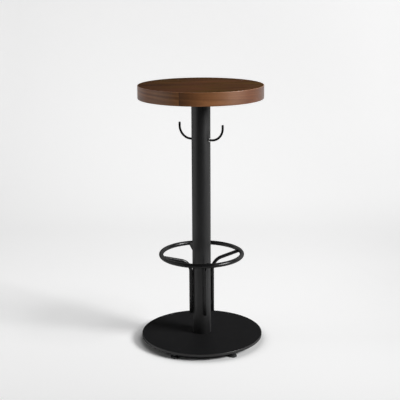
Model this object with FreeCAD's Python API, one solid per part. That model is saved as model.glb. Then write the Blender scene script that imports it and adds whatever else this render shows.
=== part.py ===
import FreeCAD, Part
import math
import os

# A round bar table, in millimetres. +Z is up and the origin is on the floor, under the middle of
# the column. The four arms of the foot ring point along +X, +Y, -X and -Y.

# The whole table
table_height = 1065.0
top_diameter = 500.0
base_diameter = 500.0
column_diameter = 76.0

# Gaps between pieces that touch on the real table
glue_line = 0.2  # between glued wooden pieces
weld_gap = 0.1  # between welded pieces with round faces
thread_gap = 0.05  # round a screw in its thread
running_gap = 0.05  # round a stud that turns
stop_gap = 0.3  # between moving pieces that come face to face
hole_gap = 0.4  # round a screw in a plain hole
overrun = 3.0  # how far a cut reaches past the face it opens
same_place = 0.001  # two places nearer than this are one

# Tabletop: two boards glued together, faced with veneer and closed by an edge band
face_thickness = 1.0
board_thickness = 25.0
band_thickness = 2.0
band_round = 1.2

# Threaded inserts in the lower board
insert_radius = 5.0
insert_length = 15.0
insert_spread = 160.0  # from one insert to the next, along X and along Y
insert_hole_spare = 2.0

# Mounting plate on top of the column
mount_plate_side = 200.0
mount_plate_thickness = 5.0
mount_plate_corner = 18.0

# Screws and washers that hold the tabletop
top_screw_radius = 3.0
top_screw_length = 20.0
top_screw_head_radius = 5.3
top_screw_head_height = 3.6
top_screw_socket = 4.0  # across the flats
top_screw_socket_depth = 2.2
top_washer_radius = 6.0
top_washer_thickness = 1.6

# Column and the plug welded into its foot
column_wall = 2.0
plug_thickness = 12.0

# Base plate
base_thickness = 10.0
base_top_round = 1.6
base_low_round = 0.8
floor_gap = 20.0  # clear height under the plate with the feet screwed home

# Screws and washers that hold the column to the base plate
base_screw_radius = 4.0
base_screw_length = 20.0
base_screw_circle = 22.0
base_screw_count = 4
base_screw_head_radius = 7.0
base_screw_head_height = 4.4
base_screw_socket = 5.0
base_screw_socket_depth = 2.8
base_washer_radius = 8.0
base_washer_thickness = 1.6

# Foot ring, the four bent rods that carry it, and their standoffs on the column
ring_radius = 166.0
ring_tube_radius = 9.0
ring_tube_wall = 1.5
ring_height = 369.0
rod_radius = 7.0
rod_slope = 15.0  # degrees
rod_bend = 52.0
rod_count = 4
leg_gap = 1.5  # clear gap between the column and a leg
leg_bottom = 116.0
leg_end_round = 1.0
standoff_heights = (155.0, 280.0)
standoff_width = 10.0
standoff_length = 18.0

# Hooks
hook_radius = 4.5
hook_drop = 219.0  # from the top of the table down to the middle of a hook's root
hook_reach = 59.0  # from the column's face to the middle of the raised tip
hook_rise = 65.0
hook_bend = 50.0
hook_tip_round = 2.5
hook_thread_radius = 4.0
hook_thread_length = 15.0  # inside the column's face
hook_first_angle = 135.0  # the hook on the left; the other is opposite

# Rivet nuts that hold the hooks in the column's wall
nut_radius = 5.5
nut_length = 18.0
nut_flange_radius = 7.5
nut_flange_thickness = 1.4
nut_bulge_radius = 7.2
nut_bulge_length = 4.0

# Levelling feet
foot_count = 6
foot_first_angle = 45.0
foot_inset = 16.0  # from the rim of the base plate to the middle of a foot
bush_radius = 9.0
bush_height = 5.0
bush_round = 0.8
stud_radius = 4.0
stud_depth = 7.5  # how far a stud reaches into the base plate
stud_tip_taper = 1.0
stud_hole_spare = 0.5
hex_across = 16.0
hex_height = 4.4
pad_radius = 15.0
pad_top_radius = 11.0
pad_side_height = 7.0
pad_edge = 0.8
pad_floor = 2.0
stud_foot_radius = 5.5
stud_foot_height = 2.0

# Places that follow from the sizes
top_radius = top_diameter / 2
base_radius = base_diameter / 2
column_radius = column_diameter / 2
column_bore = column_radius - column_wall
top_underside = table_height - 2 * (face_thickness + board_thickness)
board_seam = top_underside + face_thickness + board_thickness
plate_underside = top_underside - mount_plate_thickness
nut_face = column_radius + nut_flange_thickness
base_top = floor_gap + base_thickness
leg_radius = column_radius + leg_gap + rod_radius
hook_height = table_height - hook_drop
hook_angles = {"left": hook_first_angle, "right": hook_first_angle - 180}
insert_places = [(x * insert_spread / 2, y * insert_spread / 2) for x in (-1, 1) for y in (-1, 1)]
foot_circle_radius = base_radius - foot_inset
bush_underside = floor_gap - bush_height
hex_top = bush_underside - stop_gap
hex_underside = hex_top - hex_height
pad_height = hex_underside - stop_gap


def around(radius, count, first_angle=0):
    """Places evenly spaced on a circle about the column."""
    angles = [math.radians(first_angle + 360 * step / count) for step in range(count)]
    return [(radius * math.cos(angle), radius * math.sin(angle)) for angle in angles]


base_screw_places = around(base_screw_circle, base_screw_count, 45)
foot_places = around(foot_circle_radius, foot_count, foot_first_angle)


def upright(radius, low, high, place=(0, 0)):
    """A cylinder that stands at a place, from one height to another."""
    return Part.makeCylinder(radius, high - low, FreeCAD.Vector(*place, low))


def radial(radius, near, far, height):
    """A cylinder that points away from the column along +X."""
    start = FreeCAD.Vector(near, 0, height)
    return Part.makeCylinder(radius, far - near, start, FreeCAD.Vector(1, 0, 0))


def turned(outline):
    """A solid of revolution about +Z, from the corners of half its section as (radius, height)."""
    corners = [FreeCAD.Vector(radius, 0, height) for radius, height in outline]
    section = Part.Face(Part.makePolygon(corners + corners[:1]))
    return section.revolve(FreeCAD.Vector(), FreeCAD.Vector(0, 0, 1), 360)


def hexagon(across, low, high, place=(0, 0)):
    """An upright six-sided bar, measured across its flats."""
    corner_radius = across / 2 / math.cos(math.pi / 6)
    corners = [FreeCAD.Vector(x + place[0], y + place[1], low) for x, y in around(corner_radius, 6)]
    section = Part.Face(Part.makePolygon(corners + corners[:1]))
    return section.extrude(FreeCAD.Vector(0, 0, high - low))


def moved(shape, place=(0, 0), angle=0):
    """A copy of a shape, turned about +Z and then set down at a place."""
    copy = shape.copy()
    copy.rotate(FreeCAD.Vector(), FreeCAD.Vector(0, 0, 1), angle)
    copy.translate(FreeCAD.Vector(*place, 0))
    return copy


def edges_at(shape, height):
    """The edges of a shape that lie flat at a height."""
    found = []
    for edge in shape.Edges:
        box = edge.BoundBox
        if abs(box.ZMin - height) < same_place and abs(box.ZMax - height) < same_place:
            found.append(edge)
    return found


def rod_along(radius, edges):
    """A round rod whose middle follows edges that run smoothly into one another."""
    first = edges[0]
    start = first.valueAt(first.FirstParameter)
    direction = first.tangentAt(first.FirstParameter)
    section = Part.Wire(Part.makeCircle(radius, start, direction))
    return Part.Wire(edges).makePipeShell([section], True, True)


def straight(start, end):
    """A straight edge in the plane of +X and +Z, between two (distance, height) points."""
    return Part.makeLine(FreeCAD.Vector(start[0], 0, start[1]), FreeCAD.Vector(end[0], 0, end[1]))


def arc(start, middle, end):
    """An arc in the plane of +X and +Z, through three (distance, height) points."""
    return Part.Arc(*[FreeCAD.Vector(x, 0, z) for x, z in (start, middle, end)]).toShape()


def socket_screw(radius, length, head_radius, head_height, socket, socket_depth, bearing, place):
    """A screw that points up, with the face of its head that bears at a given height."""
    head_low = bearing - head_height
    screw = upright(head_radius, head_low, bearing, place)
    screw = screw.fuse(upright(radius, bearing, bearing + length, place)).removeSplitter()
    return screw.cut(hexagon(socket, head_low - overrun, head_low + socket_depth, place))


def washer(radius, hole_radius, low, thickness, place):
    """A flat washer with its lower face at a given height."""
    ring = upright(radius, low, low + thickness, place)
    return ring.cut(upright(hole_radius, low - overrun, low + thickness + overrun, place))


# Tabletop

def tabletop():
    """The veneers, the two boards and the edge band."""
    board_radius = top_radius - band_thickness - glue_line
    top_veneer = upright(board_radius, table_height - face_thickness, table_height)
    upper_board = upright(board_radius, board_seam, table_height - face_thickness)
    lower_board = upright(board_radius, top_underside + face_thickness, board_seam)
    low_veneer = upright(board_radius, top_underside, top_underside + face_thickness)
    hole_top = top_underside + insert_length + insert_hole_spare
    for place in insert_places:
        hole = upright(insert_radius + thread_gap, top_underside - overrun, hole_top, place)
        lower_board = lower_board.cut(hole)
        low_veneer = low_veneer.cut(hole)
    band = upright(top_radius, top_underside, table_height)
    band = band.makeFillet(band_round, edges_at(band, table_height) + edges_at(band, top_underside))
    bore = upright(top_radius - band_thickness, top_underside - overrun, table_height + overrun)
    return {
        "top_face_veneer": [top_veneer],
        "top_board_upper": [upper_board],
        "top_board_lower": [lower_board],
        "underside_veneer": [low_veneer],
        "top_edge_band": [band.cut(bore)],
    }


def tabletop_fixings():
    """The inserts in the lower board, and the screws and washers under the mounting plate."""
    washer_low = plate_underside - top_washer_thickness
    inserts, screws, washers = [], [], []
    for place in insert_places:
        sleeve = upright(insert_radius, top_underside, top_underside + insert_length, place)
        bore = upright(top_screw_radius + thread_gap, top_underside - overrun, table_height, place)
        inserts.append(sleeve.cut(bore))
        screws.append(socket_screw(top_screw_radius, top_screw_length, top_screw_head_radius,
                                   top_screw_head_height, top_screw_socket, top_screw_socket_depth,
                                   washer_low, place))
        washers.append(washer(top_washer_radius, top_screw_radius + hole_gap, washer_low,
                              top_washer_thickness, place))
    return {"top_inserts": inserts, "top_screws": screws, "top_screw_washers": washers}


def mounting_plate():
    """The square steel plate that is welded to the column and screwed to the tabletop."""
    half = mount_plate_side / 2
    corner = FreeCAD.Vector(-half, -half, plate_underside)
    plate = Part.makeBox(mount_plate_side, mount_plate_side, mount_plate_thickness, corner)
    uprights = [edge for edge in plate.Edges if abs(edge.Length - mount_plate_thickness) < same_place]
    plate = plate.makeFillet(mount_plate_corner, uprights)
    for place in insert_places:
        low = plate_underside - overrun
        plate = plate.cut(upright(top_screw_radius + hole_gap, low, top_underside + overrun, place))
    return {"mounting_plate": [plate]}


# Column and base

def column():
    """The tube, with a hole in its wall for each hook, and the plug in its foot."""
    tube = upright(column_radius, base_top, plate_underside)
    tube = tube.cut(upright(column_bore, base_top - overrun, plate_underside + overrun))
    for angle in hook_angles.values():
        hole = radial(nut_radius + thread_gap, column_bore - overrun, column_radius + overrun, hook_height)
        tube = tube.cut(moved(hole, angle=angle))
    plug = upright(column_bore - weld_gap, base_top, base_top + plug_thickness)
    for place in base_screw_places:
        low = base_top - overrun
        high = base_top + plug_thickness + overrun
        plug = plug.cut(upright(base_screw_radius + thread_gap, low, high, place))
    return {"column_tube": [tube], "column_plug": [plug]}


def base():
    """The base plate, and the screws and washers that hold the column to it."""
    plate = upright(base_radius, floor_gap, base_top)
    plate = plate.makeFillet(base_top_round, edges_at(plate, base_top))
    plate = plate.makeFillet(base_low_round, edges_at(plate, floor_gap))
    washer_low = floor_gap - base_washer_thickness
    screws, washers = [], []
    for place in base_screw_places:
        hole_radius = base_screw_radius + hole_gap
        plate = plate.cut(upright(hole_radius, floor_gap - overrun, base_top + overrun, place))
        screws.append(socket_screw(base_screw_radius, base_screw_length, base_screw_head_radius,
                                   base_screw_head_height, base_screw_socket, base_screw_socket_depth,
                                   washer_low, place))
        washers.append(washer(base_washer_radius, hole_radius, washer_low, base_washer_thickness, place))
    for place in foot_places:
        hole_top = floor_gap + stud_depth + stud_hole_spare
        plate = plate.cut(upright(stud_radius + running_gap, floor_gap - overrun, hole_top, place))
    return {"base_plate": [plate], "base_screws": screws, "base_screw_washers": washers}


# Foot ring

def ring_tube(radius):
    """A closed round ring at the height of the foot ring."""
    return Part.makeTorus(ring_radius, radius, FreeCAD.Vector(0, 0, ring_height))


def ring_rod():
    """The rod along +X: up beside the column, round a bend and out to the ring."""
    slope = math.radians(rod_slope)
    turn = math.pi / 2 - slope
    corner_height = ring_height - math.tan(slope) * (ring_radius - leg_radius)
    reach = rod_bend * math.tan(turn / 2)
    bend_low = (leg_radius, corner_height - reach)
    bend_middle = (leg_radius + rod_bend * (1 - math.cos(turn / 2)),
                   bend_low[1] + rod_bend * math.sin(turn / 2))
    bend_high = (leg_radius + reach * math.cos(slope), corner_height + reach * math.sin(slope))
    rod = rod_along(rod_radius, [
        straight((leg_radius, leg_bottom), bend_low),
        arc(bend_low, bend_middle, bend_high),
        straight(bend_high, (ring_radius, ring_height)),
    ])
    rod = rod.makeFillet(leg_end_round, edges_at(rod, leg_bottom))
    return rod.cut(ring_tube(ring_tube_radius + weld_gap))


def standoff(height):
    """The block that holds a leg off the column, hollowed to fit both."""
    low = height - standoff_length / 2
    corner = FreeCAD.Vector(column_bore, -standoff_width / 2, low)
    block = Part.makeBox(leg_radius - column_bore, standoff_width, standoff_length, corner)
    high = low + standoff_length + overrun
    block = block.cut(upright(column_radius + weld_gap, low - overrun, high))
    return block.cut(upright(rod_radius + weld_gap, low - overrun, high, (leg_radius, 0)))


def foot_ring():
    """The ring, its four rods and the standoffs of their legs."""
    pieces = {"foot_ring": [ring_tube(ring_tube_radius).cut(ring_tube(ring_tube_radius - ring_tube_wall))]}
    standoffs = []
    for step in range(rod_count):
        angle = 360 * step / rod_count
        pieces[f"foot_ring_rod_{step + 1}"] = [moved(ring_rod(), angle=angle)]
        standoffs += [moved(standoff(height), angle=angle) for height in standoff_heights]
    pieces["foot_ring_standoffs"] = standoffs
    return pieces


# Hooks

def hook():
    """The bent rod of a hook along +X, with its thinner threaded end inside the column."""
    tip = column_radius + hook_reach
    bend_start = (tip - hook_bend, hook_height)
    bend_end = (tip, hook_height + hook_bend)
    bend_middle = (bend_start[0] + hook_bend * math.sin(math.pi / 4),
                   bend_end[1] - hook_bend * math.cos(math.pi / 4))
    top = hook_height + hook_rise
    rod = rod_along(hook_radius, [
        straight((nut_face, hook_height), bend_start),
        arc(bend_start, bend_middle, bend_end),
        straight(bend_end, (tip, top)),
    ])
    rod = rod.makeFillet(hook_tip_round, edges_at(rod, top))
    thread = radial(hook_thread_radius, column_radius - hook_thread_length, nut_face, hook_height)
    return rod.fuse(thread)


def rivet_nut():
    """The nut along +X that is drawn tight in the column's wall, with its flange outside."""
    inside = nut_face - nut_length
    tall = (hook_height - nut_flange_radius - overrun, hook_height + nut_flange_radius + overrun)
    flange = radial(nut_flange_radius, column_bore, nut_face, hook_height)
    flange = flange.cut(upright(column_radius + weld_gap, *tall))
    bulge = radial(nut_bulge_radius, column_bore - nut_bulge_length, column_radius, hook_height)
    bulge = bulge.common(upright(column_bore - weld_gap, *tall))
    nut = radial(nut_radius, inside, nut_face, hook_height).fuse([flange, bulge]).removeSplitter()
    bore = radial(hook_thread_radius + thread_gap, inside - overrun, nut_face + overrun, hook_height)
    return nut.cut(bore)


def hooks():
    """Both hooks and their nuts."""
    pieces = {f"hook_{side}": [moved(hook(), angle=angle)] for side, angle in hook_angles.items()}
    pieces["hook_rivet_nuts"] = [moved(rivet_nut(), angle=angle) for angle in hook_angles.values()]
    return pieces


# Levelling feet

def foot_bush():
    """The threaded bush welded under the base plate."""
    bush = upright(bush_radius, bush_underside, floor_gap)
    bush = bush.makeFillet(bush_round, edges_at(bush, bush_underside))
    return bush.cut(upright(stud_radius + running_gap, bush_underside - overrun, floor_gap + overrun))


def foot_stud():
    """The threaded stud, with the hexagon that turns it and the head that holds the pad."""
    low = pad_floor + stop_gap
    head_top = low + stud_foot_height
    tip = floor_gap + stud_depth
    spindle = turned([
        (0, low),
        (stud_foot_radius, low),
        (stud_foot_radius, head_top),
        (stud_radius, head_top),
        (stud_radius, tip - stud_tip_taper),
        (stud_radius - stud_tip_taper, tip),
        (0, tip),
    ])
    return spindle.fuse(hexagon(hex_across, hex_underside, hex_top)).removeSplitter()


def foot_pad():
    """The pad, with the pocket in which the head of its stud turns."""
    pocket_top = pad_floor + stud_foot_height + 2 * stop_gap
    pocket_radius = stud_foot_radius + stop_gap
    bore_radius = stud_radius + running_gap
    return turned([
        (0, 0),
        (pad_radius - pad_edge, 0),
        (pad_radius, pad_edge),
        (pad_radius, pad_side_height),
        (pad_top_radius, pad_height),
        (bore_radius, pad_height),
        (bore_radius, pocket_top),
        (pocket_radius, pocket_top),
        (pocket_radius, pad_floor),
        (0, pad_floor),
    ])


def levelling_feet():
    """The bushes, and a stud and a pad for each foot."""
    pieces = {"foot_bushes": [moved(foot_bush(), place) for place in foot_places]}
    for number, place in enumerate(foot_places, 1):
        pieces[f"foot_stud_{number}"] = [moved(foot_stud(), place)]
        pieces[f"foot_pad_{number}"] = [moved(foot_pad(), place)]
    return pieces


def main():
    os.makedirs("parts", exist_ok=True)
    groups = (tabletop, tabletop_fixings, mounting_plate, column, base, foot_ring, hooks, levelling_feet)
    for group in groups:
        for name, solids in group().items():
            shape = solids[0] if len(solids) == 1 else Part.makeCompound(solids)
            print(name, len(shape.Solids), shape.isValid(), round(shape.Volume))
            shape.exportStep(f"parts/{name}.step")


main()
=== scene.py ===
import math

import bmesh
import bpy
from bpy.props import FloatProperty, FloatVectorProperty, IntProperty, PointerProperty
from mathutils import Matrix, Vector


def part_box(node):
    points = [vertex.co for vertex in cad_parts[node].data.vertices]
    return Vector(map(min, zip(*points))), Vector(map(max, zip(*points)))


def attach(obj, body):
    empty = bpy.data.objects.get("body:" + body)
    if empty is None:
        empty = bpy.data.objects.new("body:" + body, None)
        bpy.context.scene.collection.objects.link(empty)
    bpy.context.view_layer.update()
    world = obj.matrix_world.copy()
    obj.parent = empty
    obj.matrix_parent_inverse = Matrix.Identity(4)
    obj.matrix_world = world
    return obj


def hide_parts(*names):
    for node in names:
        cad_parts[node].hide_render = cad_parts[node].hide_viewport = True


bl_info = {
    "name": "Round bar table",
    "version": (1, 0, 0),
    "blender": (4, 5, 0),
    "location": "3D View > Sidebar > Bar table",
    "description": "Dresses the frame of a round bar table and sets its stage",
    "category": "Object",
}

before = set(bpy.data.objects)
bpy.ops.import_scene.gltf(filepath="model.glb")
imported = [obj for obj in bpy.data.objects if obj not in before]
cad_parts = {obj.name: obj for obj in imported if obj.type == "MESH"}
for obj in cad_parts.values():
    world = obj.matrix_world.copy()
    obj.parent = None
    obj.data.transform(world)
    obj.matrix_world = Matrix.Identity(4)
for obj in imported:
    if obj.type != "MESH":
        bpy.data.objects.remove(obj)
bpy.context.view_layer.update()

MM = 0.001
UP = Vector((0, 0, 1))
SAME_PLACE = 0.01 * MM  # two places nearer than this are one
OVERRUN = 3 * MM  # how far a plug reaches past the faces that it cuts through
FEET = range(1, 7)
ROD_ANGLES = (0, 90, 180, 270)
ROD_SLOPE = 15.0  # degrees that an arm rises by on its way to the ring
ROD_END_ROUND = 1 * MM
STANDOFF_SINK = 1.2 * MM  # how far a standoff reaches into the column's wall
STANDOFF_SPARE = 1 * MM  # how far it stops short of the middle of its leg
STANDOFF_ROUND = 0.8 * MM
HOOK_ANGLES = {"hook_left": 135, "hook_right": -45}
HOOK_HOLE = 5.55 * MM  # radius of the holes for the rivet nuts
HOOK_THREAD_LENGTH = 15 * MM  # inside the column's face
HOOK_TIP_ROUND = 2.5 * MM
BASE_SCREW_ANGLES = (45, 135, 225, 315)
BASE_SCREW_CIRCLE = 22 * MM  # radius on which the screws stand
BASE_SCREW_HOLE = 4.4 * MM  # radius
STUD_HOLE = 4.05 * MM  # radius
STUD_HOLE_DEPTH = 8 * MM
NODE_SPACING = 180  # between the nodes of a material in the node editor
FACE_GRAIN_TURN = 17.0  # degrees that the grain of the face is turned by from +X, clockwise from above
FACE_PLACE = (-1.636, -1.76, 0)  # where the face was cut from its sheet of veneer, in metres
BAND_PLACE = (0.3, -0.012, 0)  # where the strip's joint and lower edge lay in its own sheet
BAND_JOINT = 234.0  # degrees from +X to the joint of the edge band
BAND_JOINT_WIDTH = 0.8 * MM
# The strip's tone at each share of its length, going round from the joint. It is partly the wood's own tone
# and partly painted light: darker where the key lamp on the right shines on the band, paler on the side away
# from it
BAND_TONES_AND_PAINTED_LIGHT = ((0.0, (0.90, 0.86, 0.72)), (0.06, (0.96, 0.92, 0.82)), (0.13, (0.92, 0.90, 0.90)),
              (0.18, (0.58, 0.44, 0.34)), (0.27, (0.34, 0.30, 0.28)), (0.60, (0.90, 0.90, 0.90)),
              (0.86, (1.40, 1.20, 0.94)), (0.94, (1.66, 1.56, 1.20)), (1.0, (1.80, 1.78, 1.40)))


def span(node, axis):
    """How far a CAD node reaches along an axis, from low to high."""
    low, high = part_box(node)
    return low[axis], high[axis]


TOP_RADIUS = span("top_edge_band", 0)[1]
TOP_LOW, TOP_HIGH = span("top_edge_band", 2)
BASE_RADIUS = span("base_plate", 0)[1]
BASE_LOW, BASE_HIGH = span("base_plate", 2)
COLUMN_RADIUS = span("column_tube", 0)[1]
COLUMN_LOW, COLUMN_HIGH = span("column_tube", 2)
RING_TUBE = (span("foot_ring", 2)[1] - span("foot_ring", 2)[0]) / 2
RING_HEIGHT = sum(span("foot_ring", 2)) / 2
RING_RADIUS = span("foot_ring", 0)[1] - RING_TUBE
LEG_BOTTOM = span("foot_ring_rod_1", 2)[0]
HOOK_BOTTOM, HOOK_TOP = span("hook_right", 2)


# Sizes and colours

def length(name, about, default):
    """A size in metres that shows in the sidebar."""
    return FloatProperty(name=name, description=about, default=default, min=0, subtype="DISTANCE",
                         unit="LENGTH")


def colour(name, about, default):
    """A colour that shows in the sidebar, as linear red, green and blue."""
    return FloatVectorProperty(name=name, description=about, default=default, size=3, min=0, max=1,
                               subtype="COLOR")


class BarTableSizes(bpy.types.PropertyGroup):
    """The sizes that the frame leaves to the dressed table"""
    band: length("Edge band", "Thickness of the wooden band round the top", 2 * MM)
    glue_line: length("Glue line", "Gap between the band and the boards", 0.2 * MM)
    veneer: length("Face veneer", "Thickness of the face of the top", 1 * MM)
    band_round: length("Band rounding", "Rounding of the band's two rims", 1.2 * MM)
    tube_wall: length("Tube wall", "Wall of the column", 2 * MM)
    base_round: length("Base rounding", "Rounding of the base plate's upper rim", 1.6 * MM)
    base_low_round: length("Base lower rounding", "Rounding of the base plate's lower rim", 0.8 * MM)
    rod_radius: length("Rod radius", "Radius of the four bent rods", 7 * MM)
    rod_bend: length("Rod bend", "Radius of each rod's bend, on its middle line", 52 * MM)
    leg_radius: length("Leg distance", "From the column's middle to the middle of a leg", 46.5 * MM)
    hook_radius: length("Hook radius", "Radius of a hook's rod", 4.5 * MM)
    hook_thread: length("Hook thread", "Radius of a hook's threaded end", 4 * MM)
    hook_bend: length("Hook bend", "Radius of a hook's bend, on its middle line", 50 * MM)
    nut_flange: length("Nut flange", "Thickness of a rivet nut's flange", 1.4 * MM)
    hook_reach: length("Hook reach", "From the column's middle to the middle of a hook's tip", 97 * MM)
    standoff_width: length("Standoff width", "Width of a standoff", 10 * MM)
    standoff_length: length("Standoff length", "Upright length of a standoff", 18 * MM)
    steps: IntProperty(name="Steps", description="Faces round a full turn of the largest pieces", default=256,
                       min=32, max=512)


class BarTableColours(bpy.types.PropertyGroup):
    """The colours of the table's finishes and of its stage"""
    face_dark: colour("Face, dark grain", "Late wood of the face veneer", (0.054, 0.022, 0.0065))
    face_light: colour("Face, light grain", "Early wood of the face veneer", (0.178, 0.081, 0.0315))
    band_dark: colour("Band, dark grain", "Late wood of the edge band", (0.112, 0.042, 0.0125))
    band_light: colour("Band, light grain", "Early wood of the edge band", (0.246, 0.106, 0.0430))
    fibre: colour("Fibreboard", "Raw fibreboard", (0.170, 0.105, 0.048))
    coat: colour("Powder coat", "Satin black powder coat", (0.0035, 0.0035, 0.0038))
    matt: colour("Matt coat", "Matt black coat on the flat of the base plate and on the hooks",
                 (0.0110, 0.0110, 0.0115))
    zinc: colour("Zinc", "Bright zinc plate", (0.720, 0.730, 0.720))
    black_zinc: colour("Black zinc", "Black zinc plate on the studs of the feet", (0.050, 0.050, 0.053))
    plastic: colour("Plastic", "Moulded black plastic", (0.012, 0.012, 0.013))
    floor: colour("Floor", "Studio floor and sweep", (0.66, 0.66, 0.66))


def sizes():
    """The sizes as they stand in the sidebar."""
    return bpy.context.scene.bar_table_sizes


def colours():
    """The colours as they stand in the sidebar."""
    return bpy.context.scene.bar_table_colours


# Shapes

def lathe(profile, steps, closed=False):
    """A bmesh turned about +Z, from the corners of half its section as (radius, height)."""
    bm = bmesh.new()
    corners = [bm.verts.new((radius, 0, height)) for radius, height in profile]
    pairs = list(zip(corners, corners[1:] + corners[:1]))
    sides = [bm.edges.new(pair) for pair in (pairs if closed else pairs[:-1])]
    bmesh.ops.spin(bm, geom=corners + sides, cent=(0, 0, 0), axis=UP, dvec=(0, 0, 0), angle=2 * math.pi,
                   steps=steps, use_merge=True)
    bmesh.ops.remove_doubles(bm, verts=bm.verts[:], dist=SAME_PLACE)
    bmesh.ops.recalc_face_normals(bm, faces=bm.faces[:])
    return bm


def round_edges(bm, edges, width, segments):
    """Rounds some edges of a bmesh."""
    bmesh.ops.bevel(bm, geom=edges, offset=width, offset_type="OFFSET", segments=segments, profile=0.5,
                    affect="EDGES", clamp_overlap=True, material=-1)


def round_rim(bm, radius, height, width, segments):
    """Rounds the circular rim of a turned shape at a radius and a height."""
    def on_rim(vert):
        return abs(vert.co.xy.length - radius) < SAME_PLACE and abs(vert.co.z - height) < SAME_PLACE
    rim = [edge for edge in bm.edges if all(on_rim(vert) for vert in edge.verts)]
    round_edges(bm, rim, width, segments)


def only(kind, found):
    """The vertices, edges or faces among what an operator returned."""
    return [item for item in found if isinstance(item, kind)]


def push(bm, face, step):
    """Extrudes the end of a rod by a vector and returns its new end."""
    made = bmesh.ops.extrude_face_region(bm, geom=face)["geom"]
    bmesh.ops.translate(bm, vec=step, verts=only(bmesh.types.BMVert, made))
    return only(bmesh.types.BMFace, made)


def widen(bm, face, scale):
    """Steps the end of a rod out to a larger radius and returns its new end."""
    middle = face[0].calc_center_median()
    made = bmesh.ops.extrude_face_region(bm, geom=face)["geom"]
    bmesh.ops.scale(bm, vec=(scale,) * 3, space=Matrix.Translation(-middle),
                    verts=only(bmesh.types.BMVert, made))
    return only(bmesh.types.BMFace, made)


def bend(bm, face, centre, angle, steps):
    """Turns the end of a rod about the +Y line through a point, and returns its new end."""
    made = bmesh.ops.spin(bm, geom=face, cent=centre, axis=(0, 1, 0), dvec=(0, 0, 0), angle=angle,
                          steps=steps)
    return only(bmesh.types.BMFace, made["geom_last"])


def facing(place, direction):
    """The transform that puts something made along +Z at a place, along a direction."""
    return Matrix.Translation(place) @ UP.rotation_difference(Vector(direction)).to_matrix().to_4x4()


def rod_start(radius, place, direction, around):
    """A bmesh with the round end from which a rod is drawn, and that end."""
    bm = bmesh.new()
    bmesh.ops.create_circle(bm, cap_ends=True, segments=around, radius=radius,
                            matrix=facing(place, direction))
    return bm, bm.faces[:]


def as_mesh(bm, name):
    """A mesh made from a bmesh, which is freed."""
    mesh = bpy.data.meshes.new(name)
    bm.to_mesh(mesh)
    bm.free()
    return mesh


def turned_copies(bm, angles):
    """A bmesh that holds a copy of another at each angle about +Z. The other one is freed."""
    whole = bmesh.new()
    for angle in angles:
        mesh = as_mesh(bm.copy(), "part")
        mesh.transform(Matrix.Rotation(math.radians(angle), 4, "Z"))
        whole.from_mesh(mesh)
        bpy.data.meshes.remove(mesh)
    bm.free()
    return whole


def drilled(bm, cutter):
    """Cuts a bmesh of plugs out of another, and returns the mesh that is left. Both are freed."""
    bmesh.ops.recalc_face_normals(cutter, faces=cutter.faces[:])
    tool = bpy.data.objects.new("plugs", as_mesh(cutter, "plugs"))
    work = bpy.data.objects.new("work", as_mesh(bm, "work"))
    for item in (tool, work):
        bpy.context.scene.collection.objects.link(item)
    cut = work.modifiers.new("holes", "BOOLEAN")
    cut.operation = "DIFFERENCE"
    cut.solver = "EXACT"
    cut.object = tool
    bpy.context.view_layer.update()
    result = bpy.data.meshes.new_from_object(work.evaluated_get(bpy.context.evaluated_depsgraph_get()))
    for item in (tool, work):
        mesh = item.data
        bpy.data.objects.remove(item)
        bpy.data.meshes.remove(mesh)
    return result


def plug(bm, radius, start, direction, length):
    """Adds a solid round plug to a cutter, from a start along a direction."""
    middle = Vector(start) + Vector(direction).normalized() * length / 2
    bmesh.ops.create_cone(bm, cap_ends=True, cap_tris=False, segments=48, radius1=radius, radius2=radius,
                          depth=length, matrix=facing(middle, direction))


def on_circle(radius, angle, height):
    """The place at a radius, an angle in degrees from +X and a height."""
    turn = math.radians(angle)
    return Vector((radius * math.cos(turn), radius * math.sin(turn), height))


def set_down(name, shape, nodes, body, material, sharp=35, flat=None):
    """Puts a finished bmesh or mesh in the scene in place of its CAD nodes. The faces that lie flat on top
    can have a material of their own."""
    mesh = shape
    if isinstance(shape, bmesh.types.BMesh):
        bmesh.ops.recalc_face_normals(shape, faces=shape.faces[:])
        mesh = as_mesh(shape, name)
    mesh.name = name
    mesh.shade_smooth()
    mesh.set_sharp_from_angle(angle=math.radians(sharp))
    mesh.materials.clear()
    mesh.materials.append(material)
    if flat:
        mesh.materials.append(flat)
        highest = max(vertex.co.z for vertex in mesh.vertices)
        for polygon in mesh.polygons:
            level = polygon.normal.z > 0.999
            polygon.material_index = int(level and abs(polygon.center.z - highest) < SAME_PLACE)
    piece = bpy.data.objects.new(name, mesh)
    bpy.context.scene.collection.objects.link(piece)
    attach(piece, body)
    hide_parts(*nodes)


def finish_nodes(names, material):
    """Gives CAD nodes that stay in view their material."""
    for name in names:
        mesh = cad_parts[name].data
        mesh.materials.clear()
        mesh.materials.append(material)


# Material helpers

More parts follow.
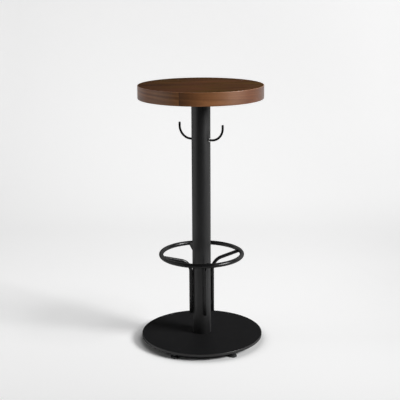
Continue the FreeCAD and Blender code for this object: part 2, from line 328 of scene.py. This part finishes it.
class Nodes:
    """Lays out the nodes of a material or a node group."""

    def __init__(self, tree):
        self.tree = tree
        self.column = 0

    def add(self, kind, inputs=None, **settings):
        """Adds a node with its settings, and links or sets its inputs."""
        node = self.tree.nodes.new(kind)
        node.location = (self.column * NODE_SPACING, 0)
        self.column += 1
        for key, value in settings.items():
            setattr(node, key, value)
        for key, value in (inputs or {}).items():
            if isinstance(value, bpy.types.NodeSocket):
                self.tree.links.new(value, node.inputs[key])
            else:
                node.inputs[key].default_value = value
        return node

    def maths(self, operation, *values):
        return self.add("ShaderNodeMath", dict(enumerate(values)), operation=operation).outputs[0]

    def rescale(self, value, low, high, at_low, at_high):
        """Goes evenly from one result to another as a value goes from low to high, and stays there."""
        inputs = {"Value": value, "From Min": low, "From Max": high, "To Min": at_low, "To Max": at_high}
        return self.add("ShaderNodeMapRange", inputs).outputs[0]

    def mix(self, factor, a, b, blend="MIX"):
        """Goes from one colour to another, or blends them, by a factor. The colour sockets of the node are
        its inputs 6 and 7 and its output 2."""
        a, b = (tone if isinstance(tone, bpy.types.NodeSocket) else (*tone, 1) for tone in (a, b))
        return self.add("ShaderNodeMix", {0: factor, 6: a, 7: b}, data_type="RGBA",
                        blend_type=blend).outputs[2]

    def times(self, a, b):
        """A colour multiplied by another."""
        return self.mix(1.0, a, b, "MULTIPLY")

    def ramp(self, value, stops):
        """A value turned into tones, from stops that each hold a place and a grey or a colour."""
        node = self.add("ShaderNodeValToRGB", {0: value})
        elements = node.color_ramp.elements
        while len(elements) < len(stops):
            elements.new(0.5)
        for element, (place, tone) in zip(elements, stops):
            element.position = place
            element.color = (tone, tone, tone, 1) if isinstance(tone, (int, float)) else (*tone, 1)
        return node.outputs[0]

    def noise(self, vector, scale=1.0, detail=2.0, roughness=0.5):
        inputs = {"Vector": vector, "Scale": scale, "Detail": detail, "Roughness": roughness}
        return self.add("ShaderNodeTexNoise", inputs).outputs[0]

    def moved(self, vector, scale=(1, 1, 1), turn=0, shift=(0, 0, 0)):
        """A vector that is scaled, then turned about +Z by degrees, then shifted."""
        inputs = {"Vector": vector, "Location": shift, "Rotation": (0, 0, math.radians(turn)), "Scale": scale}
        return self.add("ShaderNodeMapping", inputs, vector_type="POINT").outputs[0]

    def parts(self, vector):
        """The X, Y and Z of a vector."""
        return self.add("ShaderNodeSeparateXYZ", {"Vector": vector}).outputs[:]


def new_group(name, inputs, outputs):
    """A shader node group with named inputs and outputs, each as (name, socket type, default)."""
    group = bpy.data.node_groups.new(name, "ShaderNodeTree")
    for label, kind, default in inputs:
        socket = group.interface.new_socket(name=label, in_out="INPUT", socket_type=kind)
        if default is not None:
            socket.default_value = default
    for label, kind in outputs:
        group.interface.new_socket(name=label, in_out="OUTPUT", socket_type=kind)
    nodes = Nodes(group)
    return group, nodes, nodes.add("NodeGroupInput").outputs


def close_group(nodes, values):
    nodes.add("NodeGroupOutput", values)


def wood_grain_group():
    """Flat-sawn grain that runs along X: cathedral figure, fine growth lines, pores and slow tone changes."""
    group, n, given = new_group("Wood grain", [
        ("Vector", "NodeSocketVector", None),
        ("Heart distance", "NodeSocketFloat", 0.05),
        ("Taper", "NodeSocketFloat", 0.25),
        ("Ring scale", "NodeSocketFloat", 120.0),
        ("Waviness", "NodeSocketFloat", 0.012),
    ], [("Figure", "NodeSocketFloat"), ("Pores", "NodeSocketFloat"), ("Tone", "NodeSocketFloat")])
    place = given["Vector"]
    along, aside, deep = n.parts(place)
    sway = n.noise(n.moved(place, (2.2, 6.0, 6.0)), detail=3.0, roughness=0.55)
    sway = n.maths("MULTIPLY", n.maths("SUBTRACT", sway, 0.5), given["Waviness"])
    across = n.maths("ADD", aside, sway)
    square = n.maths("ADD", n.maths("MULTIPLY", across, across),
                     n.maths("MULTIPLY", given["Heart distance"], given["Heart distance"]))
    radius = n.maths("ADD", n.maths("SQRT", square), n.maths("MULTIPLY", along, given["Taper"]))
    radius = n.maths("ADD", radius, n.maths("MULTIPLY", deep, 0.5))
    rings = n.add("ShaderNodeTexNoise", {"W": n.maths("MULTIPLY", radius, given["Ring scale"]), "Scale": 1.0,
                                         "Detail": 3.0, "Roughness": 0.6}, noise_dimensions="1D").outputs[0]
    streaks = n.noise(n.moved(place, (9.0, 260.0, 260.0)), detail=3.0, roughness=0.6)
    figure = n.maths("ADD", n.maths("MULTIPLY", rings, 0.72), n.maths("MULTIPLY", streaks, 0.28))
    pores = n.noise(n.moved(place, (70.0, 1500.0, 1500.0)), detail=1.0)
    tone = n.noise(n.moved(place, (3.5, 9.0, 9.0), shift=(3.1, 1.7, 0.4)))
    close_group(n, {"Figure": n.ramp(figure, ((0.30, 0.0), (0.70, 1.0))),
                    "Pores": n.ramp(pores, ((0.60, 0.0), (0.72, 1.0))),
                    "Tone": n.ramp(tone, ((0.30, 0.0), (0.70, 1.0)))})
    return group


def coat_skin_group():
    """The fine pebbled skin of a coat or of moulded plastic, with slow changes of gloss."""
    group, n, given = new_group("Coat skin", [
        ("Vector", "NodeSocketVector", None),
        ("Scale", "NodeSocketFloat", 900.0),
    ], [("Height", "NodeSocketFloat"), ("Gloss", "NodeSocketFloat")])
    fine = n.noise(given["Vector"], given["Scale"], roughness=0.6)
    slow = n.noise(given["Vector"], 14.0, detail=3.0, roughness=0.6)
    close_group(n, {"Height": fine, "Gloss": slow})
    return group


def object_place(n):
    return n.add("ShaderNodeTexCoord").outputs["Object"]


def new_material(name):
    material = bpy.data.materials.new(name)
    material.use_nodes = True
    material.node_tree.nodes.clear()
    return material, Nodes(material.node_tree)


def close_material(n, inputs):
    """Ends a material in a Principled shader with these inputs."""
    shader = n.add("ShaderNodeBsdfPrincipled", inputs)
    n.add("ShaderNodeOutputMaterial", {"Surface": shader.outputs[0]})


def bump(n, height, distance, strength=1.0):
    return n.add("ShaderNodeBump", {"Height": height, "Distance": distance, "Strength": strength}).outputs[0]


def toned(tint, share):
    """A colour made darker or paler."""
    return tuple(min(1, share * part) for part in tint)


def coat_skin(n, groups, scale):
    """The height and the gloss of a coat's skin."""
    inputs = {"Vector": object_place(n), "Scale": scale}
    return n.add("ShaderNodeGroup", inputs, node_tree=groups["coat"]).outputs[:]


def grain(n, groups, place, heart_distance, taper, ring_scale, waviness):
    """The figure, the pores and the tone of wood grain at a place in its sheet."""
    inputs = {"Vector": place, "Heart distance": heart_distance, "Taper": taper, "Ring scale": ring_scale,
              "Waviness": waviness}
    return n.add("ShaderNodeGroup", inputs, node_tree=groups["grain"]).outputs[:]


def wood_relief(n, figure, pores):
    """The normal of planed wood: late wood stands a little proud, and pores are sunk."""
    return bump(n, n.maths("SUBTRACT", n.maths("MULTIPLY", figure, 0.3), pores), 0.06 * MM)


def face_wood(groups, dark, light):
    """Flat-sawn walnut veneer under a dull lacquer, with its grain from left to right in the picture."""
    material, n = new_material("Walnut face")
    place = n.moved(object_place(n), turn=FACE_GRAIN_TURN, shift=FACE_PLACE)
    figure, pores, tone = grain(n, groups, place, heart_distance=0.05, taper=0.25, ring_scale=30.0,
                                waviness=0.05)
    hue = n.mix(figure, dark, light)
    hue = n.mix(tone, hue, n.times(hue, (0.54, 0.54, 0.52)))
    warmth = n.noise(n.moved(place, (6.0, 8.0, 8.0), shift=(7.3, 2.9, 1.1)))
    warmth = n.ramp(warmth, ((0.35, 0.0), (0.65, 1.0)))
    hue = n.times(hue, n.mix(warmth, (1.04, 1.08, 0.62), (1.12, 0.96, 1.05)))
    hue = n.mix(n.maths("MULTIPLY", pores, 0.5), hue, toned(dark, 0.5))
    close_material(n, {"Base Color": hue, "Roughness": 0.7, "Specular IOR Level": 0.015,
                       "Normal": wood_relief(n, figure, pores)})
    return material


def band_wood(groups, dark, light):
    """A strip of walnut bent round the rim, with its grain lengthwise and a butt joint. Its tone changes
    slowly along its length, so the joint shows,
    with painted light and shade in it: darker where the key lamp falls, paler away from it. Its top and upper
    rounding are painted paler where they face upwards, as a painted highlight."""
    material, n = new_material("Walnut band")
    x, y, height = n.parts(n.moved(object_place(n), turn=180 - BAND_JOINT))
    angle = n.maths("ADD", n.maths("ARCTAN2", y, x), math.pi)
    along = n.maths("MULTIPLY", angle, TOP_RADIUS)
    place = n.add("ShaderNodeCombineXYZ", {"X": along, "Y": height}).outputs[0]
    place = n.moved(place, shift=Vector(BAND_PLACE) - Vector((0, TOP_LOW, 0)))
    figure, pores, tone = grain(n, groups, place, heart_distance=0.03, taper=0.02, ring_scale=200.0,
                                waviness=0.014)
    hue = n.mix(figure, dark, light)
    hue = n.mix(n.maths("MULTIPLY", tone, 0.5), hue, n.times(hue, (0.66, 0.62, 0.60)))
    # Painted light and shade along the band, mixed with the wood's own tone change at the joint: darker where
    # the key lamp falls, paler away from it
    hue = n.times(hue, n.ramp(n.maths("DIVIDE", angle, 2 * math.pi), BAND_TONES_AND_PAINTED_LIGHT))
    hue = n.mix(n.maths("MULTIPLY", pores, 0.55), hue, toned(dark, 0.45))
    # Painted highlight: where the band faces upwards, on its top and upper rounding, it is mixed towards a
    # pale tone
    upwards = n.parts(n.add("ShaderNodeNewGeometry").outputs["Normal"])[2]
    hue = n.mix(n.rescale(upwards, 0.15, 0.75, 0.0, 0.8), hue, toned(light, 1.6))
    joint = n.ramp(along, ((0.0, 1.0), (BAND_JOINT_WIDTH, 0.0)))
    hue = n.mix(n.maths("MULTIPLY", joint, 0.7), hue, toned(dark, 0.3))
    rough = n.maths("ADD", 0.38, n.maths("MULTIPLY", pores, 0.2))
    close_material(n, {"Base Color": hue, "Roughness": rough, "Specular IOR Level": 0.5,
                       "Normal": wood_relief(n, figure, pores)})
    return material


def fibreboard(tint):
    """Raw fibreboard, pressed in flat layers."""
    material, n = new_material("Fibreboard")
    fibres = n.noise(n.moved(object_place(n), (500.0, 500.0, 1600.0)), detail=3.0, roughness=0.7)
    hue = n.mix(fibres, toned(tint, 0.75), toned(tint, 1.2))
    close_material(n, {"Base Color": hue, "Roughness": 0.9, "Normal": bump(n, fibres, 0.1 * MM)})
    return material


def powder_coat(name, groups, tint, smooth, duller, specular):
    """Satin black powder coat, with the roughness of its smoothest spots, how much rougher it looks at a
    slant, and its specular level."""
    material, n = new_material(name)
    height, gloss = coat_skin(n, groups, 900.0)
    hue = n.mix(gloss, toned(tint, 0.85), toned(tint, 1.15))
    slant = n.add("ShaderNodeLayerWeight", {"Blend": 0.5}).outputs["Facing"]
    dulled = n.rescale(slant, 0.45, 0.90, 0.0, duller)
    rough = n.maths("ADD", n.maths("ADD", smooth, dulled), n.maths("MULTIPLY", gloss, 0.10))
    close_material(n, {"Base Color": hue, "Roughness": rough, "Specular IOR Level": specular,
                       "Normal": bump(n, height, 0.03 * MM, 0.6)})
    return material


def matt_coat(groups, tint):
    """The matt black coat of the hooks and of the flat of the base plate."""
    material, n = new_material("Matt black coat")
    height, gloss = coat_skin(n, groups, 700.0)
    hue = n.mix(gloss, toned(tint, 0.8), toned(tint, 1.2))
    close_material(n, {"Base Color": hue, "Roughness": 0.65, "Specular IOR Level": 0.015,
                       "Normal": bump(n, height, 0.04 * MM, 0.6)})
    return material


def zinc_plate(name, tint, smooth):
    """Zinc plate with a cloudy gloss, and the roughness of its smoothest spots."""
    material, n = new_material(name)
    cloud = n.noise(object_place(n), 260.0, detail=3.0, roughness=0.6)
    hue = n.mix(cloud, toned(tint, 0.85), toned(tint, 1.1))
    rough = n.maths("ADD", smooth, n.maths("MULTIPLY", cloud, 0.16))
    close_material(n, {"Base Color": hue, "Metallic": 1.0, "Roughness": rough})
    return material


def moulded_plastic(groups, tint):
    """Black plastic with a fine moulded grain."""
    material, n = new_material("Black plastic")
    height, gloss = coat_skin(n, groups, 1400.0)
    hue = n.mix(gloss, toned(tint, 0.8), toned(tint, 1.2))
    rough = n.maths("ADD", 0.36, n.maths("MULTIPLY", gloss, 0.12))
    close_material(n, {"Base Color": hue, "Roughness": rough, "Normal": bump(n, height, 0.02 * MM, 0.5)})
    return material


finishes = {}


def make_finishes():
    """Builds every finish of the table."""
    groups = {"grain": wood_grain_group(), "coat": coat_skin_group()}
    tint = colours()
    finishes.update({
        "face": face_wood(groups, tint.face_dark, tint.face_light),
        "band": band_wood(groups, tint.band_dark, tint.band_light),
        "fibre": fibreboard(tint.fibre),
        "coat": powder_coat("Black powder coat", groups, tint.coat, smooth=0.36, duller=0.55, specular=0.5),
        "rod coat": powder_coat("Black coat of the rods", groups, tint.coat, smooth=0.22, duller=0.7,
                                specular=0.28),
        "matt": matt_coat(groups, tint.matt),
        "zinc": zinc_plate("Zinc plate", tint.zinc, smooth=0.38),
        "black zinc": zinc_plate("Black zinc plate", tint.black_zinc, smooth=0.24),
        "plastic": moulded_plastic(groups, tint.plastic),
    })


def finish(name):
    """A finish by its name. The finishes are built when the first one is asked for."""
    if not finishes:
        make_finishes()
    return finishes[name]


# Pieces

class BarTableTop(bpy.types.Operator):
    """Make the face veneer and the edge band, and finish the boards and fixings of the top"""
    bl_idname = "bar_table.top"
    bl_label = "Tabletop"

    def execute(self, context):
        s = sizes()
        inner = TOP_RADIUS - s.band
        face_radius = inner - s.glue_line
        low = TOP_HIGH - s.veneer
        face = lathe([(0, low), (face_radius, low), (face_radius, TOP_HIGH), (0, TOP_HIGH)], s.steps)
        set_down("top_face", face, ["top_face_veneer"], "table", finish("face"))
        keep = 2 * s.band_round
        band = lathe([(inner, TOP_LOW), (TOP_RADIUS, TOP_LOW), (TOP_RADIUS, TOP_LOW + keep),
                      (TOP_RADIUS, TOP_HIGH - keep), (TOP_RADIUS, TOP_HIGH), (inner, TOP_HIGH)],
                     s.steps, closed=True)
        for height in (TOP_LOW, TOP_HIGH):
            round_rim(band, TOP_RADIUS, height, s.band_round, segments=4)
        set_down("edge_band", band, ["top_edge_band"], "table", finish("band"))
        finish_nodes(["underside_veneer"], finish("face"))
        finish_nodes(["top_board_upper", "top_board_lower"], finish("fibre"))
        finish_nodes(["top_inserts", "top_screws", "top_screw_washers"], finish("zinc"))
        finish_nodes(["mounting_plate"], finish("coat"))
        return {"FINISHED"}


class BarTableColumn(bpy.types.Operator):
    """Make the column with the two holes for its hooks"""
    bl_idname = "bar_table.column"
    bl_label = "Column"

    def execute(self, context):
        s = sizes()
        bore = COLUMN_RADIUS - s.tube_wall
        tube = lathe([(bore, COLUMN_LOW), (COLUMN_RADIUS, COLUMN_LOW),
                      (COLUMN_RADIUS, COLUMN_HIGH), (bore, COLUMN_HIGH)], s.steps // 2, closed=True)
        holes = bmesh.new()
        for angle in HOOK_ANGLES.values():
            start = on_circle(bore - OVERRUN, angle, HOOK_BOTTOM + s.hook_radius)
            plug(holes, HOOK_HOLE, start, on_circle(1, angle, 0), s.tube_wall + 2 * OVERRUN)
        set_down("column", drilled(tube, holes), ["column_tube"], "table", finish("coat"),
                 sharp=30)
        finish_nodes(["column_plug"], finish("coat"))
        return {"FINISHED"}


class BarTableBase(bpy.types.Operator):
    """Make the base plate with its holes, and finish the screws under it"""
    bl_idname = "bar_table.base"
    bl_label = "Base plate"

    def execute(self, context):
        s = sizes()
        keep, low_keep = 2 * s.base_round, 2 * s.base_low_round
        plate = lathe([(0, BASE_LOW), (BASE_RADIUS - low_keep, BASE_LOW), (BASE_RADIUS, BASE_LOW),
                       (BASE_RADIUS, BASE_LOW + low_keep), (BASE_RADIUS, BASE_HIGH - keep),
                       (BASE_RADIUS, BASE_HIGH), (BASE_RADIUS - keep, BASE_HIGH), (0, BASE_HIGH)], s.steps)
        round_rim(plate, BASE_RADIUS, BASE_HIGH, s.base_round, segments=5)
        round_rim(plate, BASE_RADIUS, BASE_LOW, s.base_low_round, segments=3)
        below = BASE_LOW - OVERRUN
        holes = bmesh.new()
        for angle in BASE_SCREW_ANGLES:
            plug(holes, BASE_SCREW_HOLE, on_circle(BASE_SCREW_CIRCLE, angle, below), UP,
                 BASE_HIGH - BASE_LOW + 2 * OVERRUN)
        for foot in FEET:
            low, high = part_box(f"foot_stud_{foot}")
            middle = (low + high) / 2
            plug(holes, STUD_HOLE, (middle.x, middle.y, below), UP, STUD_HOLE_DEPTH + OVERRUN)
        set_down("base", drilled(plate, holes), ["base_plate"], "table", finish("coat"),
                 sharp=30, flat=finish("matt"))
        finish_nodes(["base_screws", "base_screw_washers"], finish("zinc"))
        return {"FINISHED"}


class BarTableFootRing(bpy.types.Operator):
    """Make the foot ring, its four bent rods and their standoffs"""
    bl_idname = "bar_table.foot_ring"
    bl_label = "Foot ring"

    def execute(self, context):
        s = sizes()
        coat = finish("rod coat")
        set_down("ring", self.ring(s), ["foot_ring"], "table", coat)
        for number, angle in enumerate(ROD_ANGLES, 1):
            rod = turned_copies(self.rod(s), [angle])
            set_down(f"rod_{number}", rod, [f"foot_ring_rod_{number}"], "table", coat)
        blocks = turned_copies(self.standoffs(s), ROD_ANGLES)
        set_down("standoffs", blocks, ["foot_ring_standoffs"], "table", coat)
        return {"FINISHED"}

    def ring(self, s):
        """The closed round tube on which the feet rest."""
        bm = bmesh.new()
        section = bmesh.ops.create_circle(bm, cap_ends=False, segments=40, radius=RING_TUBE,
                                          matrix=facing((RING_RADIUS, 0, RING_HEIGHT), (0, -1, 0)))
        bmesh.ops.spin(bm, geom=section["verts"] + bm.edges[:], cent=(0, 0, 0), axis=UP, dvec=(0, 0, 0),
                       angle=2 * math.pi, steps=s.steps * 3 // 4, use_merge=True)
        bmesh.ops.remove_doubles(bm, verts=bm.verts[:], dist=SAME_PLACE)
        return bm

    def standoffs(self, s):
        """The two blocks between the column and the leg along +X."""
        bm = bmesh.new()
        near, far = COLUMN_RADIUS - STANDOFF_SINK, s.leg_radius - STANDOFF_SPARE
        size = Matrix.Diagonal((far - near, s.standoff_width, s.standoff_length, 1))
        low, high = span("foot_ring_standoffs", 2)
        for height in (low + s.standoff_length / 2, high - s.standoff_length / 2):
            place = Matrix.Translation(((near + far) / 2, 0, height))
            bmesh.ops.create_cube(bm, size=1, matrix=place @ size)
        round_edges(bm, bm.edges[:], STANDOFF_ROUND, segments=3)
        return bm

    def rod(self, s):
        """The rod along +X: its leg, its bend and its rising arm, which ends inside the ring."""
        slope = math.radians(ROD_SLOPE)
        turn = math.pi / 2 - slope
        corner = RING_HEIGHT - math.tan(slope) * (RING_RADIUS - s.leg_radius)
        reach = s.rod_bend * math.tan(turn / 2)
        bend_low = corner - reach
        bm, face = rod_start(s.rod_radius, (s.leg_radius, 0, LEG_BOTTOM), UP, around=32)
        face = push(bm, face, (0, 0, bend_low - LEG_BOTTOM))
        face = bend(bm, face, (s.leg_radius + s.rod_bend, 0, bend_low), turn, steps=18)
        push(bm, face, Vector((RING_RADIUS, 0, RING_HEIGHT)) - face[0].calc_center_median())
        foot = [edge for edge in bm.edges if all(abs(v.co.z - LEG_BOTTOM) < SAME_PLACE for v in edge.verts)]
        round_edges(bm, foot, ROD_END_ROUND, segments=3)
        return bm


class BarTableHooks(bpy.types.Operator):
    """Make the two bent hooks, and finish the rivet nuts that hold them"""
    bl_idname = "bar_table.hooks"
    bl_label = "Hooks"

    def execute(self, context):
        for name, angle in HOOK_ANGLES.items():
            hook = turned_copies(self.hook(sizes()), [angle])
            set_down(name.replace("hook", "hook_rod"), hook, [name], "table", finish("matt"))
        finish_nodes(["hook_rivet_nuts"], finish("zinc"))
        return {"FINISHED"}

    def hook(self, s):
        """The hook along +X, from its thinner threaded end to its raised tip."""
        height = HOOK_BOTTOM + s.hook_radius
        root = COLUMN_RADIUS - HOOK_THREAD_LENGTH
        shoulder = COLUMN_RADIUS + s.nut_flange
        bend_start = s.hook_reach - s.hook_bend
        bm, face = rod_start(s.hook_thread, (root, 0, height), (1, 0, 0), around=28)
        face = push(bm, face, (shoulder - root, 0, 0))
        face = widen(bm, face, s.hook_radius / s.hook_thread)
        face = push(bm, face, (bend_start - shoulder, 0, 0))
        face = bend(bm, face, (bend_start, 0, height + s.hook_bend), -math.pi / 2, steps=20)
        face = push(bm, face, (0, 0, HOOK_TOP - height - s.hook_bend))
        round_edges(bm, face[0].edges[:], HOOK_TIP_ROUND, segments=4)
        return bm


class BarTableFeet(bpy.types.Operator):
    """Finish the bushes, studs and pads of the six levelling feet"""
    bl_idname = "bar_table.feet"
    bl_label = "Levelling feet"

    def execute(self, context):
        finish_nodes(["foot_bushes"], finish("coat"))
        finish_nodes([f"foot_stud_{number}" for number in FEET], finish("black zinc"))
        finish_nodes([f"foot_pad_{number}" for number in FEET], finish("plastic"))
        return {"FINISHED"}


# Stage

TURN = 17.0  # degrees from the table's +X to the right of the picture
CAMERA_DISTANCE = 3.6956  # metres from the middle of the column
CAMERA_HEIGHT = 1.5104
CAMERA_PITCH = 13.8882  # degrees that it looks down by
CAMERA_ROLL = -0.2943
FOCAL_PIXELS = 937.93
SIDE_PIXELS = 400
SHIFT_PIXELS = 1.2779
SENSOR_WIDTH = 36  # millimetres
LIT_PLACE = (0, 0, 0.6)  # where the lamps point
FLOOR_FRONT, FLOOR_BACK = -4.5, 1.7
FLOOR_HALF_WIDTH = 7.0
SWEEP_RADIUS = 1.6
WALL_HEIGHT = 3.5  # above the sweep
GLOW_DEPTHS = (-4.5, 3.5)  # from the front to the back of the glowing paint, in metres
# The glow on the left and on the right, as pairs of a depth and a strength
GLOW_LEFT = ((-4.0, 0.80), (-1.8, 0.60), (-0.6, 0.425), (1.0, 0.465), (2.2, 0.56), (3.3, 0.665))
GLOW_RIGHT = ((-4.0, 0.80), (-1.8, 0.45), (-0.6, 0.19), (0.0, 0.225), (1.0, 0.56), (2.2, 0.81), (2.8, 0.865))
SKY_GLOW = 0.88
GLOW_BESIDE = 0.82  # far to the left and to the right


def seen_from(azimuth, elevation, distance, target):
    """A place at an azimuth from the right of the picture, in the table's own frame."""
    turn, rise = math.radians(azimuth - TURN), math.radians(elevation)
    way = Vector((math.cos(turn) * math.cos(rise), math.sin(turn) * math.cos(rise), math.sin(rise)))
    return Vector(target) + way * distance


def softbox(name, azimuth, elevation, distance, width, height, power, spread=180):
    """A soft rectangular lamp that faces the table, with a grid that keeps its beam within an angle."""
    light = bpy.data.lights.new(name, "AREA")
    light.shape = "RECTANGLE"
    light.size = width
    light.size_y = height
    light.energy = power
    light.spread = math.radians(spread)
    lamp = bpy.data.objects.new(name, light)
    bpy.context.scene.collection.objects.link(lamp)
    lamp.location = seen_from(azimuth, elevation, distance, LIT_PLACE)
    away = lamp.location - Vector(LIT_PLACE)
    lamp.rotation_mode = "QUATERNION"
    lamp.rotation_quaternion = away.to_track_quat("Z", "Y")


class BarTableStage(bpy.types.Operator):
    """Make the studio floor and sweep, the soft lamps, the sky and the camera"""
    bl_idname = "bar_table.stage"
    bl_label = "Stage"

    def execute(self, context):
        self.floor()
        self.lamps()
        self.sky()
        self.camera()
        context.scene.view_settings.view_transform = "Standard"
        return {"FINISHED"}

    def floor(self):
        """A floor that sweeps up into a back wall."""
        bm = bmesh.new()
        corners = bmesh.ops.create_grid(bm, x_segments=1, y_segments=1, size=1)["verts"]
        bmesh.ops.scale(bm, vec=(FLOOR_HALF_WIDTH, (FLOOR_BACK - FLOOR_FRONT) / 2, 1), verts=corners)
        bmesh.ops.translate(bm, vec=(0, (FLOOR_BACK + FLOOR_FRONT) / 2, 0), verts=corners)
        rear = [edge for edge in bm.edges
                if all(abs(vert.co.y - FLOOR_BACK) < SAME_PLACE for vert in edge.verts)]
        swept = bmesh.ops.spin(bm, geom=rear, cent=(0, FLOOR_BACK, SWEEP_RADIUS), axis=(1, 0, 0),
                               dvec=(0, 0, 0), angle=math.pi / 2, steps=24)["geom_last"]
        wall = bmesh.ops.extrude_edge_only(bm, edges=only(bmesh.types.BMEdge, swept))["geom"]
        bmesh.ops.translate(bm, vec=(0, 0, WALL_HEIGHT), verts=only(bmesh.types.BMVert, wall))
        bmesh.ops.remove_doubles(bm, verts=bm.verts[:], dist=SAME_PLACE)
        bmesh.ops.recalc_face_normals(bm, faces=bm.faces[:])
        mesh = as_mesh(bm, "studio_sweep")
        mesh.transform(Matrix.Rotation(math.radians(-TURN), 4, "Z"))
        mesh.shade_smooth()
        mesh.materials.append(self.paint())
        sweep = bpy.data.objects.new("studio_sweep", mesh)
        bpy.context.scene.collection.objects.link(sweep)

    def paint(self):
        """White studio paint. For the camera and in reflections it also glows, more so towards the back, so
        the backdrop is pale without more light on the table. The glow stays out of narrow places, so it is
        dark under the base plate. In reflections the front of the floor is dim, and its left a little dimmer
        than its right."""
        material, n = new_material("Studio paint")
        across, deep = n.parts(n.moved(object_place(n), turn=TURN))[:2]
        in_front = n.rescale(deep, -1.5, -0.6, 0.1, 1.0)
        on_the_left = n.rescale(across, -1.0, 0.2, 0.72, 1.0)
        seen = self.seen(n, n.maths("MULTIPLY", in_front, on_the_left))
        openness = n.add("ShaderNodeAmbientOcclusion", {"Distance": 0.06}, samples=16).outputs["AO"]
        seen = n.maths("MULTIPLY", seen, n.rescale(openness, 0.58, 0.96, 0.0, 1.0))
        front, back = GLOW_DEPTHS
        share = n.maths("DIVIDE", n.maths("SUBTRACT", deep, front), back - front)
        left, right = (n.ramp(share, [((depth - front) / (back - front), glow) for depth, glow in stops])
                       for stops in (GLOW_LEFT, GLOW_RIGHT))
        glow = n.mix(n.rescale(across, -1.3, 1.3, 0.0, 1.0), left, right)
        beyond = n.rescale(n.maths("ABSOLUTE", across), 1.7, 3.4, 0.0, 1.0)
        glow = n.mix(beyond, glow, (GLOW_BESIDE,) * 3)
        close_material(n, {"Base Color": (*colours().floor, 1), "Roughness": 0.9, "Specular IOR Level": 0.1,
                           "Emission Color": (1, 1, 1, 1),
                           "Emission Strength": n.maths("MULTIPLY", seen, glow)})
        return material

    def seen(self, n, in_gloss):
        """1 for what the camera sees, straight or through glass, and a share of it for reflections."""
        paths = n.add("ShaderNodeLightPath").outputs
        direct = n.maths("MAXIMUM", paths["Is Camera Ray"], paths["Is Transmission Ray"])
        return n.maths("MAXIMUM", direct, n.maths("MULTIPLY", paths["Is Glossy Ray"], in_gloss))

    def lamps(self):
        """A key lamp on the right, a dim card on the left and a weak lamp behind."""
        softbox("key", azimuth=-24, elevation=25, distance=3.6, width=1.45, height=1.05, power=36.0,
                spread=70)
        softbox("card", azimuth=195, elevation=14, distance=2.6, width=2.4, height=2.0, power=12.8)
        softbox("back", azimuth=140, elevation=40, distance=3.0, width=1.6, height=1.6, power=4.0)

    def sky(self):
        """A pale sky that gives little light, and that is dim in reflections."""
        world = bpy.data.worlds.new("Studio")
        bpy.context.scene.world = world
        world.use_nodes = True
        world.node_tree.nodes.clear()
        n = Nodes(world.node_tree)
        strength = n.maths("MAXIMUM", 0.03, n.maths("MULTIPLY", SKY_GLOW, self.seen(n, 0.1)))
        sky = n.add("ShaderNodeBackground", {"Color": (1, 1, 1, 1), "Strength": strength})
        n.add("ShaderNodeOutputWorld", {"Surface": sky.outputs[0]})

    def camera(self):
        """The camera that was fitted to the outlines of the top, the base, the foot ring and the column."""
        data = bpy.data.cameras.new("Camera")
        data.sensor_fit = "HORIZONTAL"
        data.sensor_width = SENSOR_WIDTH
        data.lens = FOCAL_PIXELS / SIDE_PIXELS * SENSOR_WIDTH
        data.shift_x = -SHIFT_PIXELS / SIDE_PIXELS
        data.clip_start, data.clip_end = 0.1, 60
        camera = bpy.data.objects.new("Camera", data)
        bpy.context.scene.collection.objects.link(camera)
        place = seen_from(-90, 0, CAMERA_DISTANCE, (0, 0, CAMERA_HEIGHT))
        aim = (Matrix.Rotation(math.radians(-TURN), 4, "Z")
               @ Matrix.Rotation(math.radians(90 - CAMERA_PITCH), 4, "X")
               @ Matrix.Rotation(math.radians(CAMERA_ROLL), 4, "Z"))
        camera.matrix_world = Matrix.Translation(place) @ aim
        bpy.context.scene.camera = camera


class BarTablePanel(bpy.types.Panel):
    """The table's pieces, sizes and colours"""
    bl_idname = "VIEW3D_PT_bar_table"
    bl_label = "Round bar table"
    bl_space_type = "VIEW_3D"
    bl_region_type = "UI"
    bl_category = "Bar table"

    def draw(self, context):
        for step in STEPS:
            self.layout.operator(step.bl_idname)
        for group, title in ((sizes(), "Sizes"), (colours(), "Colours")):
            box = self.layout.box()
            box.label(text=title)
            for name in group.__annotations__:
                box.prop(group, name)


STEPS = (BarTableTop, BarTableColumn, BarTableBase, BarTableFootRing, BarTableHooks, BarTableFeet,
         BarTableStage)
CLASSES = (BarTableSizes, BarTableColours, *STEPS, BarTablePanel)


def register():
    for item in CLASSES:
        bpy.utils.register_class(item)
    bpy.types.Scene.bar_table_sizes = PointerProperty(type=BarTableSizes)
    bpy.types.Scene.bar_table_colours = PointerProperty(type=BarTableColours)


def unregister():
    del bpy.types.Scene.bar_table_colours
    del bpy.types.Scene.bar_table_sizes
    for item in reversed(CLASSES):
        bpy.utils.unregister_class(item)


def main():
    register()
    bpy.ops.bar_table.top()
    bpy.ops.bar_table.column()
    bpy.ops.bar_table.base()
    bpy.ops.bar_table.foot_ring()
    bpy.ops.bar_table.hooks()
    bpy.ops.bar_table.feet()
    bpy.ops.bar_table.stage()


if __name__ == "__main__":
    main()
